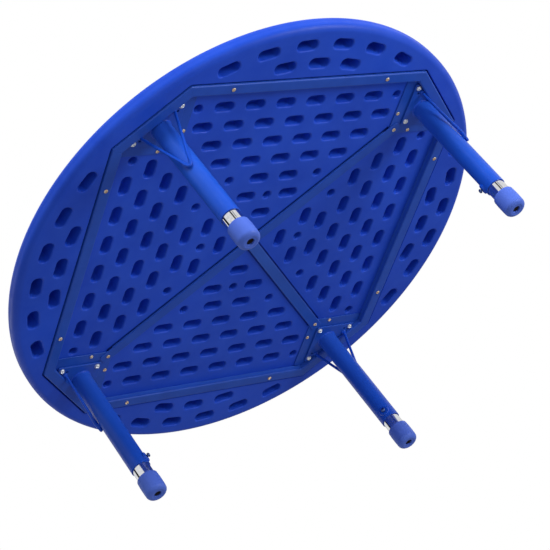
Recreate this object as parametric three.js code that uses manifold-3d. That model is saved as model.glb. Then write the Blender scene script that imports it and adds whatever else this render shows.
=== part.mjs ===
// Round height-adjustable utility table: a blow-moulded top on a steel underframe
// with four telescopic legs.
// Millimetres, +Z up. The feet stand on z = 0 and the legs are at their shortest setting.
import * as THREE from 'three';
import Module from 'manifold-3d';

const wasm = await Module();
wasm.setup();

// ---- Driving dimensions ----
const TOP_RADIUS = 571.5;
const TOP_THICKNESS = 41;
const TABLE_HEIGHT = 400.5;
const EDGE_RADIUS = 15;
const SKIN = 3; // wall of the hollow moulding
const RECESS_DEPTH = 12; // step from the outer ring down to the frame bed
const RIM_MARGIN = 44.7; // frame's truncated corner to the rim
const RAIL_WIDTH = 25;
const RAIL_PROUD = 3; // how far the frame stands below the outer ring
const SHEET = 2.2; // steel gauge of the pressed frame parts
const BED_CLEARANCE = 3; // round the frame in its recess
const BAR_GROOVE_DEPTH = 6; // crossed groove that the cross bars lie in
const BAR_CLEARANCE = 3.2; // on each side of a bar in its groove
const GAP = 0.3; // parts that touch are drawn this far apart
const LEG_TUBE_RADIUS = 22.25;
const LEG_TUBE_WALL = 1.8;
const SLIDING_GAP = 0.45;
const INNER_TUBE_WALL = 1.8;
const FOOT_CAP_WALL = 4.3;
const FOOT_CAP_LENGTH = 50;
const CAP_FLOOR = 9; // thickness of the cap under the inner tube's end
const CHROME_SHOWN = 27; // inner tube seen between the outer tube and the foot cap
const LEG_PLATE_THICKNESS = 4;
const LEG_PLATE_MARGIN = 18.75; // plate edge to tube wall on the inner sides
const SHEET_ARM_END = 21.3; // height of the corner sheet's arm at its far end
const BOLT_HEAD_RADIUS = 5.2;
const BRACE_ROD_RADIUS = 3.2;
const BRACE_DROP = 0.5; // brace tip, as a share of the outer tube's length from its top
const BRACE_HALF_WIDTH = 42.5;
const BRACE_CLEARANCE = 1.5; // from the brace's upper ends to the corner rail
const LOCK_SCREW_HEIGHT = 17; // above the outer tube's lower end
const LOCK_BOSS_RADIUS = 12;
const LOCK_BOSS_PROUD = 3;
const TUBE_SIDES = 20;

// ---- Derived levels ----
const zTop = TABLE_HEIGHT;
const zRing = zTop - TOP_THICKNESS; // underside of the outer ring
const zBed = zRing + RECESS_DEPTH; // floor of the frame recess
const zRail = zRing - RAIL_PROUD; // lower face of the rails
const zSteelTop = zBed - GAP;
const zSheet = zSteelTop - SHEET; // lower face of the corner sheets
const zPlateTop = zSheet - GAP;
const zPlate = zPlateTop - LEG_PLATE_THICKNESS;
const zTubeTop = zPlate - GAP;
const zTubeEnd = FOOT_CAP_LENGTH + CHROME_SHOWN;
const zLock = zTubeEnd + LOCK_SCREW_HEIGHT;

// ---- Derived tube sizes ----
const outerBore = LEG_TUBE_RADIUS - LEG_TUBE_WALL;
const innerTubeRadius = outerBore - SLIDING_GAP;
const capSocket = innerTubeRadius + GAP;
const footCapRadius = capSocket + FOOT_CAP_WALL;

// ---- Derived plan positions ----
const SQ2 = Math.SQRT2;
const cornerCut = TOP_RADIUS - RIM_MARGIN; // centre to the outer face of a truncated corner
const cutInner = cornerCut - RAIL_WIDTH;
const legRadial = cutInner - LEG_TUBE_RADIUS - 1.5;
const legXY = legRadial / SQ2;
const plateIn = legXY - LEG_TUBE_RADIUS - LEG_PLATE_MARGIN;
const plateSum = (cutInner - 1.2) * SQ2; // x + y along the plate's long edge
const sheetIn = plateIn - RAIL_WIDTH;
const sheetTurn = sheetIn + SHEET_ARM_END; // where the arm's end meets the truncated rail
const sheetOut = cutInner * SQ2 + SHEET / 2 - sheetTurn;
const frameHalf = sheetOut + RAIL_WIDTH + 0.6; // centre to the outer face of a side rail
const boltIn = plateIn + 9;
const boltOut = plateSum - 8 - boltIn;
const railScrewY = frameHalf * 0.447;
const railMid = frameHalf - RAIL_WIDTH / 2;

// ---- Materials ----
function paint(color, roughness, metalness) {
  return new THREE.MeshStandardMaterial({ color, roughness, metalness });
}
const MOULDED_BLUE = paint(0x2f4fb4, 0.45, 0);
const FRAME_BLUE = paint(0x2c57a8, 0.4, 0.3);
const LEG_BLUE = paint(0x1f50c4, 0.35, 0.3);
const CHROME = paint(0xd8dade, 0.08, 1);
const CAP_PERIWINKLE = paint(0x6c7be0, 0.5, 0);
const ZINC = paint(0xc6ccd2, 0.3, 1);
const YELLOW_ZINC = paint(0x8d7a55, 0.4, 1);
const DARK_STEEL = paint(0x2c3440, 0.45, 0.8);

// ---- Solid helpers ----
function solid(geometry) {
  const g = geometry.index ? geometry.toNonIndexed() : geometry.clone();
  const position = g.getAttribute('position');
  const keys = new Map();
  const verts = [];
  const tris = [];
  for (let i = 0; i < position.count; i += 1) {
    const p = [position.getX(i), position.getY(i), position.getZ(i)];
    const key = p.map((v) => Math.round(v * 1e4)).join();
    if (!keys.has(key)) {
      keys.set(key, verts.length / 3);
      verts.push(...p);
    }
    tris.push(keys.get(key));
  }
  const kept = [];
  for (let i = 0; i < tris.length; i += 3) {
    const [a, b, c] = [tris[i], tris[i + 1], tris[i + 2]];
    if (a !== b && b !== c && c !== a) kept.push(a, b, c);
  }
  const mesh = new wasm.Mesh({
    numProp: 3,
    vertProperties: new Float32Array(verts),
    triVerts: new Uint32Array(kept),
  });
  return new wasm.Manifold(mesh);
}

function toGeometry(manifold) {
  const mesh = manifold.getMesh();
  const geometry = new THREE.BufferGeometry();
  geometry.setAttribute('position', new THREE.BufferAttribute(new Float32Array(mesh.vertProperties), 3));
  geometry.setIndex(new THREE.BufferAttribute(new Uint32Array(mesh.triVerts), 1));
  geometry.computeVertexNormals();
  return geometry;
}

// A plan outline raised between two levels.
function slab(outline, z0, z1) {
  const shape = new THREE.Shape(outline.map(([x, y]) => new THREE.Vector2(x, y)));
  const geometry = new THREE.ExtrudeGeometry(shape, { depth: z1 - z0, bevelEnabled: false, steps: 1 });
  return solid(geometry.translate(0, 0, z0));
}

function upright(x, y, radius, z0, z1, sides) {
  const geometry = new THREE.CylinderGeometry(radius, radius, z1 - z0, sides);
  return solid(geometry.rotateX(Math.PI / 2).translate(x, y, (z0 + z1) / 2));
}

// A profile of [radius, height] points turned about the Z axis.
function turned(profile, sides) {
  const points = profile.map(([r, z]) => new THREE.Vector2(r, z));
  return new THREE.LatheGeometry(points, sides).rotateX(Math.PI / 2);
}

function rounded(cx, cy, radius, from, to, steps) {
  return Array.from({ length: steps + 1 }, (_, i) => {
    const a = from + ((to - from) * i) / steps;
    return [cx + radius * Math.cos(a), cy + radius * Math.sin(a)];
  });
}

// Square with truncated corners, given the two distances from the centre.
function octagon(side, cut) {
  const v = cut * SQ2 - side;
  return [
    [side, -v], [side, v], [v, side], [-v, side],
    [-side, v], [-side, -v], [-v, -side], [v, -side],
  ];
}

function stadium(length, width, arcSteps) {
  const r = width / 2;
  const c = length / 2 - r;
  return [
    ...rounded(c, 0, r, -Math.PI / 2, Math.PI / 2, arcSteps),
    ...rounded(-c, 0, r, Math.PI / 2, (3 * Math.PI) / 2, arcSteps),
  ];
}

function placed(outline, x, y, angle) {
  const [c, s] = [Math.cos(angle), Math.sin(angle)];
  return outline.map(([u, v]) => [x + u * c - v * s, y + u * s + v * c]);
}

// ---- Moulded top ----
// Every recess as { x, y, angle, length, width }: rows facing each side inside the frame, arcs outside it.
function recesses() {
  const pitch = frameHalf * 0.1742;
  const rowPitch = frameHalf * 0.1112;
  const firstRow = frameHalf * 0.8497;
  const slot = { length: 46, width: 23 };
  const dot = { length: 19, width: 19 };
  const rows = [
    { slots: [0.5, 1.5, 2.5], dots: [3.33] },
    { slots: [0, 1, 2, 3], dots: [] },
    { slots: [0.5, 1.5, 2.5], dots: [] },
    { slots: [0, 1, 2], dots: [] },
    { slots: [0.5], dots: [1.5] },
    { slots: [0.72], dots: [0] },
    { slots: [0], dots: [] },
  ];
  const arcs = [
    { radius: TOP_RADIUS - 44, degrees: [5, 15, 25] },
    { radius: TOP_RADIUS - 91.2, degrees: [0, 10] },
  ];
  const found = [];
  const bothSides = (list) => list.flatMap((v) => (v === 0 ? [0] : [-v, v]));
  for (let side = 0; side < 4; side += 1) {
    const turn = (side * Math.PI) / 2;
    const add = (along, out, size, tilt) => {
      const [x, y] = placed([[out, along]], 0, 0, turn)[0];
      found.push({ x, y, angle: turn + Math.PI / 2 + tilt, ...size });
    };
    rows.forEach((row, k) => {
      bothSides(row.slots).forEach((m) => add(m * pitch, firstRow - k * rowPitch, slot, 0));
      bothSides(row.dots).forEach((m) => add(m * pitch, firstRow - k * rowPitch, dot, 0));
    });
    for (const arc of arcs) {
      for (const deg of bothSides(arc.degrees)) {
        const a = (deg * Math.PI) / 180;
        add(arc.radius * Math.sin(a), arc.radius * Math.cos(a), { length: 50, width: 25 }, a * -1);
      }
    }
  }
  return found;
}

// Two crossed strips along the diagonals; grown leaves the skin round them.
function barGroove(grown) {
  const half = RAIL_WIDTH / 2 + BAR_CLEARANCE + grown;
  const far = sheetIn * SQ2 + 10 + grown;
  const outline = [[-far, -half], [far, -half], [far, half], [-far, half]];
  const strip = slab(outline, zRing, zBed + BAR_GROOVE_DEPTH + grown);
  return strip.rotate([0, 0, 45]).add(strip.rotate([0, 0, -45]));
}

function tableTop() {
  const rim = (inset, steps) => {
    const r = EDGE_RADIUS - inset;
    const c = TOP_RADIUS - EDGE_RADIUS;
    return [
      [0, zRing + inset],
      ...rounded(c, zRing + EDGE_RADIUS, r, -Math.PI / 2, 0, steps),
      ...rounded(c, zTop - EDGE_RADIUS, r, 0, Math.PI / 2, steps),
      [0, zTop - inset],
    ];
  };
  const grown = BED_CLEARANCE;
  const bed = slab(octagon(frameHalf + grown, cornerCut + grown), zRing - 5, zBed);
  const bedSkin = slab(octagon(frameHalf + grown + SKIN, cornerCut + grown + SKIN), zRing, zBed + SKIN);
  let hollow = solid(turned(rim(SKIN, 1), 40)).subtract(bedSkin).subtract(barGroove(SKIN));
  let cutters = bed.add(barGroove(0));
  for (const r of recesses()) {
    const outline = placed(stadium(r.length + 0.01, r.width, 3), r.x, r.y, r.angle);
    const [hx, hy] = [r.length / 2 + SKIN, r.width / 2 + SKIN];
    const column = placed([[-hx, -hy], [hx, -hy], [hx, hy], [-hx, hy]], r.x, r.y, r.angle);
    cutters = cutters.add(slab(outline, zRing - 5, zTop - SKIN));
    hollow = hollow.subtract(slab(column, zRing, zTop));
  }
  for (const [x, y] of railScrewPlaces()) {
    cutters = cutters.add(upright(x, y, 2.6, zBed - 1, zBed + SKIN + 1, 8));
  }
  return toGeometry(solid(turned(rim(0, 3), 64)).subtract(cutters).subtract(hollow));
}

// ---- Underframe ----
function railScrewPlaces() {
  const places = [];
  for (let side = 0; side < 4; side += 1) {
    for (const y of [-railScrewY, railScrewY]) {
      places.push(placed([[railMid, y]], 0, 0, (side * Math.PI) / 2)[0]);
    }
  }
  return places;
}

// The whole octagonal channel: its web faces down and its two flanges reach up to the moulding.
function frameRing() {
  const ring = (out, z0, z1) => {
    const inner = RAIL_WIDTH - out;
    const outer = slab(octagon(frameHalf - out, cornerCut - out), z0, z1);
    return outer.subtract(slab(octagon(frameHalf - inner, cornerCut - inner), z0 - 1, z1 + 1));
  };
  return ring(0, zRail, zSteelTop).subtract(ring(SHEET, zRail + SHEET, zSteelTop + 1));
}

// Region of the +X side between the two mitred joints.
function sideWedge(shrink) {
  const slope = Math.tan(Math.PI / 8);
  const v = cornerCut * SQ2 - frameHalf;
  const edge = (x) => v + slope * (x - frameHalf) - shrink;
  const [x0, x1] = [frameHalf - 40, frameHalf + 10];
  return slab([[x0, -edge(x0)], [x1, -edge(x1)], [x1, edge(x1)], [x0, edge(x0)]], zRail - 1, zTop);
}

function sideRail() {
  let rail = frameRing().intersect(sideWedge(GAP / 2));
  for (const y of [-railScrewY, railScrewY]) {
    rail = rail.subtract(upright(railMid, y, 2.5, zRail - 1, zRail + SHEET + 1, 8));
  }
  return toGeometry(rail);
}

function boltPlaces() {
  return [[boltIn, boltIn], [boltOut, boltIn], [boltIn, boltOut]];
}

function drilled(part, radius, z0, z1) {
  return boltPlaces().reduce((left, [x, y]) => left.subtract(upright(x, y, radius, z0, z1, 8)), part);
}

function cornerBracket() {
  const wide = frameHalf + 20;
  const quadrant = slab([[0, 0], [wide, 0], [wide, wide], [0, wide]], zRail - 1, zTop);
  const wedge = sideWedge(-GAP / 2);
  const channel = frameRing().intersect(quadrant).subtract(wedge).subtract(wedge.rotate([0, 0, 90]));
  const r = 10;
  const sheet = slab(
    [
      [sheetIn, sheetIn],
      ...rounded(sheetOut - r, sheetIn + r, r, -Math.PI / 2, 0, 3),
      [sheetOut, sheetTurn], [sheetTurn, sheetOut],
      ...rounded(sheetIn + r, sheetOut - r, r, Math.PI / 2, Math.PI, 3),
    ],
    zSheet,
    zSteelTop,
  );
  return toGeometry(drilled(channel.add(sheet), 3.2, zSheet - 1, zTop));
}

// A shallow channel along +X whose flat web laps over the corner sheet at each far end.
function crossBar(start, end) {
  const half = RAIL_WIDTH / 2;
  const flange = sheetIn * SQ2 - 2;
  const zWeb = zSheet - GAP;
  const strip = (x0, x1, y0, y1, z0, z1) => slab([[x0, y0], [x1, y0], [x1, y1], [x0, y1]], z0, z1);
  const [f0, f1] = [Math.max(start, -flange), Math.min(end, flange)];
  return strip(start, end, -half, half, zWeb - SHEET, zWeb)
    .add(strip(f0, f1, -half, -half + SHEET, zWeb - SHEET, zSteelTop))
    .add(strip(f0, f1, half - SHEET, half, zWeb - SHEET, zSteelTop));
}

// ---- Legs, drawn for the (+X, +Y) corner ----
function legPlate() {
  const far = plateSum - plateIn;
  const tip = 7;
  const outline = [
    [plateIn, plateIn], [far - tip, plateIn], [far - tip, plateIn + tip],
    [plateIn + tip, far - tip], [plateIn, far - tip],
  ];
  return toGeometry(drilled(slab(outline, zPlate, zPlateTop), 3.2, zPlate - 1, zTop));
}

function pipe(radius, wall, z0, z1, sides) {
  const inner = radius - wall;
  return solid(turned([[inner, z0], [radius, z0], [radius, z1], [inner, z1], [inner, z0]], sides));
}

// The lower boss faces the middle of the table and takes the lock screw.
function legOuterTube() {
  const bossEnd = LEG_TUBE_RADIUS + LOCK_BOSS_PROUD;
  const bossStart = LEG_TUBE_RADIUS - 4;
  const screwHole = 3.4;
  const sideways = (r0, r1, from, to, sides) => {
    const cone = new THREE.CylinderGeometry(r0, r1, to - from, sides).rotateX(Math.PI / 2);
    return solid(cone.translate(0, 0, (from + to) / 2).rotateY(-Math.PI / 2));
  };
  const bore = upright(0, 0, outerBore, -40, 40, TUBE_SIDES);
  const boss = sideways(LOCK_BOSS_RADIUS / 2, LOCK_BOSS_RADIUS, bossStart, bossEnd, 12).subtract(bore);
  const tube = pipe(LEG_TUBE_RADIUS, LEG_TUBE_WALL, zTubeEnd - zLock, zTubeTop - zLock, TUBE_SIDES);
  return toGeometry(tube.add(boss).subtract(sideways(screwHole, screwHole, 0, bossEnd + 5, 8)));
}

function legInnerTube() {
  const r = innerTubeRadius;
  const inner = r - INNER_TUBE_WALL;
  const [z0, z1] = [CAP_FLOOR, zTubeTop - 15];
  const end = z0 + 3;
  const profile = [[2.8, z0], [r, z0], [r, z1], [inner, z1], [inner, end], [2.8, end], [2.8, z0]];
  return turned(profile, TUBE_SIDES);
}

function footCap() {
  const floor = CAP_FLOOR - GAP;
  const [R, L] = [footCapRadius, FOOT_CAP_LENGTH];
  return turned(
    [
      [2.9, 5], [8, 5], [8, 0],
      ...rounded(R - 10, 10, 10, -Math.PI / 2, 0, 3),
      [R, L - 10], [R - 0.8, L - 4], [R - 2.4, L],
      [capSocket, L], [capSocket, floor], [2.9, floor], [2.9, 5],
    ],
    TUBE_SIDES,
  );
}

function footScrew() {
  return turned([[0, 1.6], [5, 1.6], [6, 2.6], [6, 4.7], [2.4, 4.7], [2.4, 19], [0, 20]], 10);
}

// A bent rod: two straight arms from the leg plate to a rounded tip on the tube's outer side.
function legBrace() {
  const top = zPlate - GAP;
  const tip = zTubeTop - (zTubeTop - zTubeEnd) * BRACE_DROP;
  const out = cutInner - BRACE_ROD_RADIUS - BRACE_CLEARANCE;
  const hug = legRadial + LEG_TUBE_RADIUS + BRACE_ROD_RADIUS + 0.6;
  const w = BRACE_HALF_WIDTH;
  const arm = (side) => [
    [out, side * w, top],
    [out - 0.4, side * (w - 0.6), top - 7],
    [(out + hug) / 2, side * (w * 0.56), (top * 0.5 + tip * 0.5)],
    [hug + 0.8, side * 10, tip + 22],
    [hug + 0.2, side * 6, tip + 7],
  ];
  const path = [...arm(1), [hug, 0, tip], ...arm(-1).reverse()];
  const curve = new THREE.CatmullRomCurve3(path.map((p) => new THREE.Vector3(...p)), false, 'centripetal');
  const section = new THREE.Shape(
    rounded(0, 0, BRACE_ROD_RADIUS, 0, (2 * Math.PI * 5) / 6, 5).map(([x, y]) => new THREE.Vector2(x, y)),
  );
  const rod = new THREE.ExtrudeGeometry(section, { steps: 18, extrudePath: curve, bevelEnabled: false });
  return rod.rotateZ(Math.PI / 4);
}

function legBolt() {
  const h = BOLT_HEAD_RADIUS;
  const z0 = zPlate - GAP;
  const head = [[0, z0 - 3.6], [h - 1.4, z0 - 3.6], [h, z0 - 2.2], [h, z0]];
  return turned([...head, [2.9, z0], [2.9, zSteelTop], [0, zSteelTop]], 8);
}

function railScrew() {
  const z0 = zRail - GAP;
  const head = [[0, z0 - 2.4], [3, z0 - 2.4], [4.6, z0 - 1], [4.6, z0]];
  return turned([...head, [2.1, z0], [2.1, zBed + 5], [0, zBed + 9]], 8);
}

// Drawn along +Z from the tube's axis outwards.
function lockScrew() {
  const tip = outerBore + 0.1;
  const neck = LEG_TUBE_RADIUS + 3.4;
  return turned(
    [
      [0, tip], [2.6, tip], [3, tip + 0.6], [3, neck + 1.6], [4.8, neck + 2], [4.8, neck + 5.6],
      [3.8, neck + 7], [0, neck + 7.4],
    ],
    10,
  );
}

// ---- Assembly ----
const table = new THREE.Group();
table.name = 'round_utility_table';

function addMesh(parent, name, geometry, material) {
  const mesh = new THREE.Mesh(geometry, material);
  mesh.name = name;
  parent.add(mesh);
  return mesh;
}

addMesh(table, 'table_top', tableTop(), MOULDED_BLUE);

const rail = sideRail();
['right', 'rear', 'left', 'front'].forEach((side, k) => {
  addMesh(table, `side_rail_${side}`, rail, FRAME_BLUE).rotation.z = (k * Math.PI) / 2;
});

const barEnd = plateIn * SQ2 - 2.5;
const longBar = toGeometry(crossBar(-barEnd, barEnd));
const halfBar = toGeometry(crossBar(RAIL_WIDTH / 2 + GAP, barEnd));
addMesh(table, 'cross_bar_long', longBar, FRAME_BLUE).rotation.z = -Math.PI / 4;
addMesh(table, 'cross_bar_half_rear', halfBar, FRAME_BLUE).rotation.z = Math.PI / 4;
addMesh(table, 'cross_bar_half_front', halfBar, FRAME_BLUE).rotation.z = (-3 * Math.PI) / 4;

railScrewPlaces().forEach(([x, y], k) => {
  const side = ['right', 'rear', 'left', 'front'][Math.floor(k / 2)];
  addMesh(table, `rail_screw_${side}_${(k % 2) + 1}`, railScrew(), YELLOW_ZINC).position.set(x, y, 0);
});

const shared = {
  bracket: cornerBracket(),
  plate: legPlate(),
  outer: legOuterTube(),
  brace: legBrace(),
  inner: legInnerTube(),
  cap: footCap(),
  capScrew: footScrew(),
  lock: lockScrew(),
  bolt: legBolt(),
};

['rear_right', 'rear_left', 'front_left', 'front_right'].forEach((corner, k) => {
  const group = new THREE.Group();
  group.name = `corner_${corner}`;
  group.rotation.z = (k * Math.PI) / 2;
  table.add(group);
  addMesh(group, `corner_bracket_${corner}`, shared.bracket, FRAME_BLUE);
  addMesh(group, `leg_plate_${corner}`, shared.plate, FRAME_BLUE);
  addMesh(group, `leg_brace_${corner}`, shared.brace, LEG_BLUE);
  boltPlaces().forEach(([x, y], n) => {
    addMesh(group, `leg_bolt_${corner}_${n + 1}`, shared.bolt, ZINC).position.set(x, y, 0);
  });

  const leg = new THREE.Group();
  leg.name = `leg_${corner}`;
  leg.position.set(legXY, legXY, 0);
  leg.rotation.z = Math.PI / 4;
  group.add(leg);
  addMesh(leg, `leg_outer_tube_${corner}`, shared.outer, LEG_BLUE).position.z = zLock;
  addMesh(leg, `leg_inner_tube_${corner}`, shared.inner, CHROME);
  addMesh(leg, `foot_cap_${corner}`, shared.cap, CAP_PERIWINKLE);
  addMesh(leg, `foot_screw_${corner}`, shared.capScrew, YELLOW_ZINC);
  const lock = addMesh(leg, `height_lock_screw_${corner}`, shared.lock, DARK_STEEL);
  lock.position.z = zLock;
  lock.rotation.y = -Math.PI / 2;
});

export default table;
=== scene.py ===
import math

import bmesh
import bpy
from mathutils import Matrix, Vector, geometry

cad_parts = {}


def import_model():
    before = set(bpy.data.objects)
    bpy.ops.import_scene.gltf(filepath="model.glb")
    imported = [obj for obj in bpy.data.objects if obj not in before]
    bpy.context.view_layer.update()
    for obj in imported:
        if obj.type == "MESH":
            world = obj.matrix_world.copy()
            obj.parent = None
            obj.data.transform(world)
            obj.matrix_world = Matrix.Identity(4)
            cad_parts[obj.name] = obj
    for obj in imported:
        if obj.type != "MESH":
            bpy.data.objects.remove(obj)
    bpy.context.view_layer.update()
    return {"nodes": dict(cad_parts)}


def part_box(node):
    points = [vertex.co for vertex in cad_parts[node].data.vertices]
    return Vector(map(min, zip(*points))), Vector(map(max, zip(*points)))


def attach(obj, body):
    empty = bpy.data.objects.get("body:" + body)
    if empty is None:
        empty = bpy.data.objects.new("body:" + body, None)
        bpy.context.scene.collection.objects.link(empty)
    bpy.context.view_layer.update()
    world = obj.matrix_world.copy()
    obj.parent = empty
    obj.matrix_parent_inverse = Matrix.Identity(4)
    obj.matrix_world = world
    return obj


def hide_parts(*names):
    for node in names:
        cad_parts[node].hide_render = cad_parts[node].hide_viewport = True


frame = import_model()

# Round activity table: hollow moulded top, pressed steel underframe, four telescopic legs.
# Metres, in the frame's own axes. MM turns a size in millimetres into metres.
MM = 0.001
SQ2 = math.sqrt(2)
CORNERS = ("rear_right", "rear_left", "front_left", "front_right")
SIDES = ("right", "rear", "left", "front")
TABLE = "table"
DIAGONAL = Vector((1, 1, 0)) / SQ2


# ---------------------------------------------------------------- sizes read from the frame

def reach(node, direction):
    """How far a CAD node goes in a direction from the table's axis."""
    return max(v.co.dot(direction) for v in frame["nodes"][node].data.vertices)


def middle(node):
    low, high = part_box(node)
    return (low + high) / 2


TOP_LOW, TOP_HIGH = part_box("table_top")
RAIL_LOW, RAIL_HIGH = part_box("side_rail_right")
PLATE_LOW, PLATE_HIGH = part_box("leg_plate_rear_right")
BRACKET_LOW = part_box("corner_bracket_rear_right")[0]
BAR_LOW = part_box("cross_bar_long")[0]
CAP_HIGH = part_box("foot_cap_rear_right")[1]
TUBE_LOW, TUBE_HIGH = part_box("leg_outer_tube_rear_right")
INNER_LOW, INNER_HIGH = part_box("leg_inner_tube_rear_right")
BRACE_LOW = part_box("leg_brace_rear_right")[0]

RADIUS = reach("table_top", Vector((1, 0, 0)))
Z_TOP = TOP_HIGH.z
Z_RING = TOP_LOW.z
Z_RAIL = RAIL_LOW.z
Z_STEEL = RAIL_HIGH.z
Z_PLATE = PLATE_LOW.z
Z_PLATE_TOP = PLATE_HIGH.z
Z_WEB = BAR_LOW.z
FRAME_HALF = RAIL_HIGH.x
RAIL_WIDTH = RAIL_HIGH.x - RAIL_LOW.x
CORNER_CUT = reach("corner_bracket_rear_right", DIAGONAL)
SHEET_IN = BRACKET_LOW.x
PLATE_IN = PLATE_LOW.x
PLATE_FAR = PLATE_HIGH.x
LEG_XY = middle("foot_cap_rear_right").x
LEG_OUT = LEG_XY * SQ2
CAP_RADIUS = reach("foot_cap_rear_right", DIAGONAL) - LEG_OUT
INNER_RADIUS = reach("leg_inner_tube_rear_right", DIAGONAL) - LEG_OUT
Z_LOCK = middle("height_lock_screw_rear_right").z

# ---------------------------------------------------------------- sizes of what is drawn here

SHEET = 2.2 * MM
GAP = 0.3 * MM
BED_DEPTH = 12 * MM
BED_CLEARANCE = 3 * MM
EDGE_RADIUS = 15 * MM
FLOOR_SKIN = 3 * MM
GROOVE_DEPTH = 6 * MM
GROOVE_CLEARANCE = 3.2 * MM
SLOT = (46 * MM, 23 * MM)
DOT = (19 * MM, 19 * MM)
RING_SLOT = (50 * MM, 25 * MM)
SLOT_LIP = 3.8 * MM
TUBE_RADIUS = 22.25 * MM
TUBE_WALL = 1.8 * MM
BRACE_ROD = 3.2 * MM
BRACE_HALF_WIDTH = 42.5 * MM
BRACE_CLEARANCE = 1.5 * MM
HEIGHT_HOLES = 10
HOLE_PITCH = 25.4 * MM
HOLE_RADIUS = 3.6 * MM
CAP_EDGE = 10 * MM
CAP_LIP = 2.2 * MM
FLOOR_RADIUS = 30
FLOOR_GLOW = 0.34
Z_BED = Z_RING + BED_DEPTH
Z_SHEET = Z_STEEL - SHEET


# ---------------------------------------------------------------- outlines and solids

def arc(centre, radius, start, end, steps):
    """Points on an arc, in degrees."""
    found = []
    for i in range(steps + 1):
        a = math.radians(start + (end - start) * i / steps)
        found.append(Vector((centre[0] + radius * math.cos(a), centre[1] + radius * math.sin(a))))
    return found


def circle(radius, steps, centre=(0, 0)):
    return arc(centre, radius, 0, 360, steps)[:-1]


def rounded_box(length, width, radius, steps=6):
    """A rectangle with round corners, anticlockwise, about its middle."""
    radius = max(min(radius, length / 2, width / 2) - 1e-5, 1e-5)
    x, y = length / 2 - radius, width / 2 - radius
    corners = (((x, -y), -90), ((x, y), 0), ((-x, y), 90), ((-x, -y), 180))
    return [p for centre, start in corners for p in arc(centre, radius, start, start + 90, steps)]


def round_corners(points, radius, steps=5):
    """An anticlockwise outline with each corner turned into an arc."""
    points = [Vector(p) for p in points]
    found = []
    for before, here, after in zip(points[-1:] + points[:-1], points, points[1:] + points[:1]):
        back, on = (before - here).normalized(), (after - here).normalized()
        half = back.angle(on) / 2
        centre = here + (back + on).normalized() * (radius / math.sin(half))
        start = here + back * (radius / math.tan(half)) - centre
        end = here + on * (radius / math.tan(half)) - centre
        turn = start.angle_signed(end)
        for i in range(steps + 1):
            step = start.copy()
            step.rotate(Matrix.Rotation(-turn * i / steps, 2))
            found.append(centre + step)
    return found


def offset(outline, distance):
    """An anticlockwise outline moved outwards by a distance."""
    moved = []
    for before, here, after in zip(outline[-1:] + outline[:-1], outline, outline[1:] + outline[:1]):
        a, b = (here - before).normalized(), (after - here).normalized()
        out = Vector((a.y + b.y, -a.x - b.x)) / max(1 + a.dot(b), 0.2)
        moved.append(here + out * distance)
    return moved


def placed(outline, x, y, angle):
    c, s = math.cos(angle), math.sin(angle)
    return [Vector((x + p[0] * c - p[1] * s, y + p[0] * s + p[1] * c)) for p in outline]


def level(outline, z):
    return [Vector((p[0], p[1], z)) for p in outline]


def octagon(side, cut):
    """A square with cut corners, from the two distances to the centre."""
    v = cut * SQ2 - side
    return [
        (side, -v), (side, v), (v, side), (-v, side),
        (-side, v), (-side, -v), (-v, -side), (v, -side),
    ]


def loft(bm, rings, start_face=False, end_face=False):
    """Closed rings of equal length joined by faces."""
    rows = [[bm.verts.new(p) for p in ring] for ring in rings]
    count = len(rows[0])
    for a, b in zip(rows, rows[1:]):
        for i in range(count):
            j = (i + 1) % count
            bm.faces.new((a[i], a[j], b[j], b[i]))
    if start_face:
        bm.faces.new(rows[0])
    if end_face:
        bm.faces.new(rows[-1])


def turned(bm, profile, steps=64, start_face=False, end_face=False):
    """A profile of (radius, height) turned about Z."""
    loft(bm, [level(circle(r, steps), z) for r, z in profile], start_face, end_face)


def inside(x, y, loop):
    """True where a point lies inside a closed outline."""
    found = False
    for a, b in zip(loop[-1:] + loop[:-1], loop):
        if (a[1] > y) != (b[1] > y) and x < a[0] + (b[0] - a[0]) * (y - a[1]) / (b[1] - a[1]):
            found = not found
    return found


def fill(bm, loops, z):
    """A flat face at one level, inside the first loop and outside the others."""
    spans = []
    for loop in loops:
        centre = sum((Vector(p[:2]) for p in loop), Vector((0, 0))) / len(loop)
        spans.append((centre, max((Vector(p[:2]) - centre).length for p in loop)))
    points, edges = [], []
    for loop in loops:
        first = len(points)
        points += [Vector((p[0], p[1])) for p in loop]
        edges += [(first + i, first + (i + 1) % len(loop)) for i in range(len(loop))]
    flat = geometry.delaunay_2d_cdt(points, edges, [], 0, 1e-8)
    verts = [bm.verts.new((v.x, v.y, z)) for v in flat[0]]
    for face in flat[2]:
        at = sum((flat[0][i] for i in face), Vector((0, 0))) / len(face)
        if not inside(at.x, at.y, loops[0]):
            continue
        near = (loop for loop, (centre, far) in zip(loops[1:], spans[1:]) if (at - centre).length < far)
        if not any(inside(at.x, at.y, loop) for loop in near):
            bm.faces.new([verts[i] for i in face])
    bmesh.ops.delete(bm, geom=[v for v in verts if not v.link_faces], context="VERTS")


def rounding(size, steps=3):
    """(inset, drop) pairs that take a flat face over a rounded edge."""
    turns = [math.radians(90 * i / steps) for i in range(steps + 1)]
    return [(size * (1 - math.sin(t)), size * (1 - math.cos(t))) for t in turns]


def slab(bm, outline, low, high, edge, holes=()):
    """A plate between two levels with its edges rounded over. Holes are (x, y, radius)."""
    steps = [(i, low + d) for i, d in rounding(edge)] + [(i, high - d) for i, d in rounding(edge)[::-1]]
    loft(bm, [level(offset(outline, -inset), z) for inset, z in steps])
    for x, y, r in holes:
        loft(bm, [level(circle(r + inset, 20, (x, y)), z) for inset, z in steps])
    for inset, z in (steps[0], steps[-1]):
        inner = [circle(r + inset, 20, (x, y)) for x, y, r in holes]
        fill(bm, [offset(outline, -inset)] + inner, z)


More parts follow.
